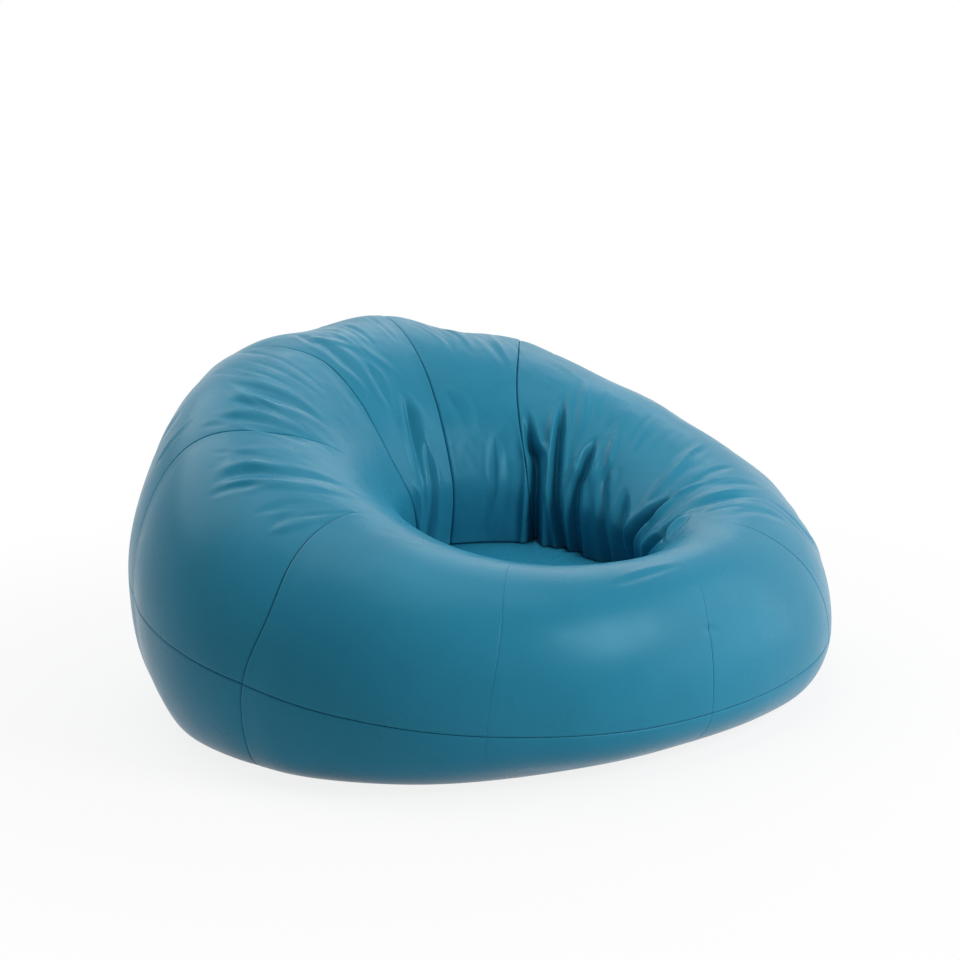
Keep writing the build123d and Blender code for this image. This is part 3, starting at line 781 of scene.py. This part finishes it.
def floor_half(side, inset, height, slot, edge):
    """Half of a floor: an edge beside the zip's slot, then flat out to the bag's outline."""
    slot_w, slot_length, wall_length, raised_length = slot
    rim = floor_outline(half_angles(side, inset), inset, height)
    x = np.linspace(rim[0, 0], rim[-1, 0], HALF_COLUMNS)
    lip, wall = within(x, slot_length), within(x, wall_length)
    tapered = np.clip((rim[-1, 0] - np.abs(x)) / EDGE_TAPER, 0, 1)
    rows = []
    for out, rise in edge:
        beside = slot_w / 2 * (wall if rows else lip)
        y = ZIP_Y + side * (beside + out * tapered)
        rows.append(np.stack([x, y, height + rise * within(x, raised_length)], -1))
    rows += [rows[-1] + (rim - rows[-1]) * share for share in FLOOR_SHARES]
    half = np.stack(rows)
    return half[:, ::-1] if side < 0 else half


def make_base(material):
    """The two halves of the base, turned up along the zip's opening and sewn together beyond it."""
    slot = (OPENING_W, ZIP_LENGTH, ZIP_LENGTH, HEM_LENGTH)
    for name, side in (("base_front", -1), ("base_back", 1)):
        half = floor_half(side, 0, 0, slot, BASE_EDGE)
        piece = make_piece(f"sewn_{name}", [half], material, name)
        thicken(piece)


def inner_bag(inset, height, slot, edge):
    """Grids of a closed bag inside the cover, lower in the hollow than the deepest folds."""
    back = half_angles(1, inset)[::-1]
    angles = np.concatenate([half_angles(-1, inset), back[1:]])
    angle, level = np.meshgrid(angles, INNER_LEVELS)
    room = inset + HOLLOW_ROOM * (1 - ease_between(level, HOLLOW_ROOM_LEVELS))
    smooth = bag_point(angle, level)
    pushed = np.minimum(bulges(smooth.reshape(-1, 3)), 0).reshape(level.shape)
    wall = smooth + bag_normal(angle, level) * (pushed - room)[..., None]
    seat_z = SEAT_Z - SEAT_ROOM - inset / 2
    seat_edge = ring_point(around(SEAT_R, angles) + inset, seat_z - seat_dip(angles), angles)
    centre = np.array([*HOLLOW_AXIS, seat_z])
    seat = centre + (seat_edge - centre) * INNER_SEAT_SHARES[:, None, None]
    rim = floor_outline(angles, inset, height)
    sides = np.concatenate([seat, wall, rim[None]])
    halves = [floor_half(side, inset, height, slot, edge) for side in (-1, 1)]
    return [sides] + halves


def make_liner(material):
    """Calico liner, tucked up over the cover's zip and open under its own."""
    slot = (LINER_OPENING_W, LINER_ZIP_LENGTH, LINER_POCKET_LENGTH, LINER_POCKET_LENGTH)
    grids = inner_bag(LINER_INSET, LINER_FLOOR, slot, LINER_EDGE)
    piece = make_piece("sewn_liner", grids, material, "liner")


def make_filling(material):
    """Mass of beads in the liner, clear of the liner's zip."""
    slot = (0, LINER_ZIP_LENGTH, FILLING_POCKET_LENGTH, FILLING_POCKET_LENGTH)
    grids = inner_bag(FILLING_INSET, FILLING_FLOOR, slot, FILLING_EDGE)
    piece = make_piece("bead_mass", grids, material, "filling")


def new_material(name, colour, roughness):
    """Material with a colour and a roughness, its node tree and its shader."""
    material = bpy.data.materials.new(name)
    material.use_nodes = True
    shader = material.node_tree.nodes["Principled BSDF"]
    shader.inputs["Base Color"].default_value = (*colour, 1)
    shader.inputs["Roughness"].default_value = roughness
    return material, material.node_tree, shader


def add_node(tree, kind, **inputs):
    """Shader node whose inputs are numbers, or outputs of other nodes to link. An underscore is a space."""
    node = tree.nodes.new("ShaderNode" + kind)
    for name, value in inputs.items():
        socket = node.inputs[name.replace("_", " ")]
        if isinstance(value, bpy.types.NodeSocket):
            tree.links.new(value, socket)
        else:
            socket.default_value = value
    return node


def place_on(tree, stretch=(1, 1, 1)):
    """Place on the object, in metres, stretched to squeeze a pattern along an axis."""
    where = add_node(tree, "TexCoord").outputs["Object"]
    return add_node(tree, "Mapping", Vector=where, Scale=stretch).outputs["Vector"]


def noise_of(tree, size, detail=2.0, stretch=(1, 1, 1)):
    """Soft noise with features of a size in metres."""
    where = place_on(tree, stretch)
    return add_node(tree, "TexNoise", Vector=where, Scale=1 / size, Detail=detail).outputs["Fac"]


def cells_of(tree, size):
    """Rounded cells of a size in metres."""
    return add_node(tree, "TexVoronoi", Vector=place_on(tree), Scale=1 / size).outputs["Distance"]


def bands_of(tree, size, direction):
    """Parallel ribs, a size in metres apart, across a direction. At a scale of 1 they lie pi / 10 apart."""
    bands = add_node(tree, "TexWave", Vector=place_on(tree), Scale=math.pi / (10 * size))
    bands.bands_direction = direction
    return bands.outputs["Fac"]


def spread(tree, factor, low, high):
    """Numbers from low to high as a factor goes through the middle of its range."""
    span = add_node(tree, "MapRange", Value=factor, From_Min=0.25, From_Max=0.75, To_Min=low, To_Max=high)
    span.interpolation_type = "SMOOTHSTEP"
    return span.outputs["Result"]


def tint(tree, colour, strength):
    """A colour made darker or lighter from place to place by a strength."""
    shade = add_node(tree, "HueSaturation", Color=(*colour, 1), Value=strength)
    return shade.outputs["Color"]


def relief(tree, height, rise, under=None):
    """Normals of a fine relief of a rise in metres, on top of another relief."""
    bump = add_node(tree, "Bump", Height=height, Distance=rise, Strength=1.0)
    if under:
        tree.links.new(under, bump.inputs["Normal"])
    return bump.outputs["Normal"]


def leather():
    """Satin leather cloth: a fine pebbled grain, slightly uneven in colour and sheen."""
    material, tree, shader = new_material("teal_leather", TEAL, roughness=0.4)
    shader.inputs["Specular IOR Level"].default_value = 0.2
    shader.inputs["Specular Tint"].default_value = (*GLOSS_TINT, 1)
    uneven = spread(tree, noise_of(tree, size=0.16, detail=3.0), low=0.94, high=1.06)
    tree.links.new(tint(tree, TEAL, uneven), shader.inputs["Base Color"])
    sheen = spread(tree, noise_of(tree, size=0.05, detail=3.0), low=0.26, high=0.34)
    tree.links.new(sheen, shader.inputs["Roughness"])
    pebbles = relief(tree, cells_of(tree, size=0.0011), rise=0.00001)
    grain = relief(tree, noise_of(tree, size=0.0030, detail=1.0), rise=0.00001, under=pebbles)
    tree.links.new(grain, shader.inputs["Normal"])
    return material


def zip_tape(name, colour):
    """Tight herringbone tape."""
    material, tree, shader = new_material(name, colour, roughness=0.8)
    shade = spread(tree, noise_of(tree, size=0.003), low=0.85, high=1.15)
    tree.links.new(tint(tree, colour, shade), shader.inputs["Base Color"])
    twill = relief(tree, bands_of(tree, size=0.0009, direction="DIAGONAL"), rise=0.00012)
    ribs = relief(tree, bands_of(tree, size=0.0005, direction="X"), rise=0.00006, under=twill)
    tree.links.new(ribs, shader.inputs["Normal"])
    return material


def moulded(name, colour):
    """Moulded plastic with a faintly uneven gloss."""
    material, tree, shader = new_material(name, colour, roughness=0.35)
    gloss = spread(tree, noise_of(tree, size=0.002), low=0.28, high=0.42)
    tree.links.new(gloss, shader.inputs["Roughness"])
    skin = relief(tree, noise_of(tree, size=0.0008), rise=0.00002)
    tree.links.new(skin, shader.inputs["Normal"])
    return material


def coil_nylon():
    """Nylon coil: close turns across the zip."""
    material, tree, shader = new_material("coil_nylon", CALICO, roughness=0.4)
    turns = relief(tree, bands_of(tree, size=0.0012, direction="X"), rise=0.0004)
    tree.links.new(turns, shader.inputs["Normal"])
    gloss = spread(tree, noise_of(tree, size=0.004), low=0.34, high=0.46)
    tree.links.new(gloss, shader.inputs["Roughness"])
    return material


def brushed_metal():
    """Die-cast zip metal, brushed along the zip."""
    material, tree, shader = new_material("zip_metal", GUNMETAL, roughness=0.3)
    shader.inputs["Metallic"].default_value = 1
    brushing = noise_of(tree, size=0.002, detail=3.0, stretch=(0.1, 1, 1))
    tree.links.new(spread(tree, brushing, low=0.24, high=0.4), shader.inputs["Roughness"])
    tree.links.new(relief(tree, brushing, rise=0.00002), shader.inputs["Normal"])
    return material


def calico():
    """Plain woven cotton."""
    material, tree, shader = new_material("calico", CALICO, roughness=0.85)
    shader.inputs["Sheen Weight"].default_value = 0.15
    shade = spread(tree, noise_of(tree, size=0.006, detail=4.0), low=0.93, high=1.05)
    tree.links.new(tint(tree, CALICO, shade), shader.inputs["Base Color"])
    warp = relief(tree, bands_of(tree, size=0.0006, direction="X"), rise=0.00012)
    weave = relief(tree, bands_of(tree, size=0.0006, direction="Y"), rise=0.00012, under=warp)
    tree.links.new(weave, shader.inputs["Normal"])
    return material


def bead_foam():
    """Polystyrene beads, some 4 mm across."""
    material, tree, shader = new_material("bead_foam", BEAD_WHITE, roughness=0.55)
    shade = spread(tree, noise_of(tree, size=0.004), low=0.94, high=1.04)
    tree.links.new(tint(tree, BEAD_WHITE, shade), shader.inputs["Base Color"])
    beads = relief(tree, cells_of(tree, size=0.004), rise=-0.003)
    tree.links.new(beads, shader.inputs["Normal"])
    return material


def dress_zips():
    """Finishes of the two zips, which keep their solids."""
    metal = brushed_metal()
    finishes = {
        "cover_zip_tape": zip_tape("cover_zip_tape", TAPE_TEAL),
        "cover_zip_teeth": moulded("cover_zip_teeth", TEETH_TEAL),
        "liner_zip_tape": zip_tape("liner_zip_tape", CALICO),
        "liner_zip_coil": coil_nylon(),
    }
    for node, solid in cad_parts.items():
        if "_zip_" not in node:
            continue
        family = node.rsplit("_", 1)[0]
        solid.data.materials.clear()
        solid.data.materials.append(finishes.get(family, metal))


def view_direction(azimuth, elevation):
    """Unit vector from the bag towards a view azimuth and elevation in degrees."""
    turn, tilt = math.radians(azimuth), math.radians(elevation)
    level = math.cos(tilt)
    return Vector((math.sin(turn) * level, -math.cos(turn) * level, math.sin(tilt)))


def set_camera():
    """Camera that sees the bag as the photograph does."""
    back = view_direction(CAMERA_AZIMUTH, CAMERA_ELEVATION)
    right = view_direction(CAMERA_AZIMUTH + 90, 0)
    aim = Vector((*HOLLOW_AXIS, CAMERA_AIM_Z)) + right * CAMERA_ASIDE
    data = bpy.data.cameras.new("camera")
    data.sensor_fit = "HORIZONTAL"
    data.sensor_width = SENSOR_W
    data.lens = CAMERA_FOCAL_PIXELS * SENSOR_W / IMAGE_SIZE
    camera = bpy.data.objects.new("camera", data)
    camera.location = aim + back * CAMERA_DISTANCE
    camera.rotation_euler = (-back).to_track_quat("-Z", "Y").to_euler()
    bpy.context.scene.collection.objects.link(camera)
    bpy.context.scene.camera = camera


def softbox(name, azimuth, elevation, size, watts):
    """Square soft lamp aimed at the bag, unseen itself."""
    data = bpy.data.lights.new(name, "AREA")
    data.size = size
    data.energy = watts
    lamp = bpy.data.objects.new(name, data)
    towards = view_direction(azimuth, elevation)
    lamp.location = Vector((0, 0, SOFTBOX_AIM_Z)) + towards * SOFTBOX_DISTANCE
    lamp.rotation_euler = (-towards).to_track_quat("-Z", "Y").to_euler()
    lamp.visible_camera = False
    bpy.context.scene.collection.objects.link(lamp)


def seen_rays(tree):
    """1 for rays that show a surface, straight, mirrored or through glass, and 0 for rays that only light."""
    path = add_node(tree, "LightPath")
    mirrored = add_node(tree, "Math")
    through = add_node(tree, "Math")
    for step in (mirrored, through):
        step.operation = "MAXIMUM"
    tree.links.new(path.outputs["Is Camera Ray"], mirrored.inputs[0])
    tree.links.new(path.outputs["Is Glossy Ray"], mirrored.inputs[1])
    tree.links.new(mirrored.outputs[0], through.inputs[0])
    tree.links.new(path.outputs["Is Transmission Ray"], through.inputs[1])
    return through.outputs[0]


def set_light():
    """White surround that lights only dimly, and the softboxes."""
    world = bpy.data.worlds.new("studio")
    bpy.context.scene.world = world
    world.use_nodes = True
    tree = world.node_tree
    background = tree.nodes["Background"]
    background.inputs["Color"].default_value = (1, 1, 1, 1)
    strength = add_node(tree, "MapRange", Value=seen_rays(tree), To_Min=ROOM_STRENGTH, To_Max=1.0)
    tree.links.new(strength.outputs["Result"], background.inputs["Strength"])
    for lamp in SOFTBOXES:
        softbox(*lamp)


def floor_finish():
    """Pale matt floor that takes the bag's shadow and goes over into the white surround."""
    material, tree, shader = new_material("floor", FLOOR_COLOUR, roughness=0.9)
    shader.inputs["Specular IOR Level"].default_value = 0
    distance = add_node(tree, "VectorMath", Vector=add_node(tree, "TexCoord").outputs["Object"])
    distance.operation = "LENGTH"
    near, far = FLOOR_FADE
    fade = add_node(tree, "MapRange", Value=distance.outputs["Value"], From_Min=near, From_Max=far)
    fade.interpolation_type = "SMOOTHSTEP"
    fade.inputs["To Min"].default_value = FLOOR_LIFT
    fade.inputs["To Max"].default_value = 1
    lift = add_node(tree, "Math")
    lift.operation = "MULTIPLY"
    tree.links.new(fade.outputs["Result"], lift.inputs[0])
    tree.links.new(seen_rays(tree), lift.inputs[1])
    white = add_node(tree, "Emission", Color=(1, 1, 1, 1), Strength=1.0)
    mix = add_node(tree, "MixShader", Fac=lift.outputs[0])
    tree.links.new(shader.outputs["BSDF"], mix.inputs[1])
    tree.links.new(white.outputs["Emission"], mix.inputs[2])
    tree.links.new(mix.outputs["Shader"], tree.nodes["Material Output"].inputs["Surface"])
    return material


def set_stage():
    """Square floor under the bag."""
    mesh = bpy.data.meshes.new("floor")
    half = FLOOR_HALF
    corners = [(-half, -half, 0), (half, -half, 0), (half, half, 0), (-half, half, 0)]
    mesh.from_pydata(corners, [], [(0, 1, 2, 3)])
    mesh.materials.append(floor_finish())
    floor = bpy.data.objects.new("floor", mesh)
    floor.location.z = -FLOOR_DROP
    bpy.context.scene.collection.objects.link(floor)


bpy.context.scene.view_settings.view_transform = "Standard"
cover = leather()
wall_foot = make_panels(cover)
make_seat(cover, wall_foot)
make_base(cover)
make_liner(calico())
make_filling(bead_foam())
dress_zips()
set_stage()
set_light()
set_camera()
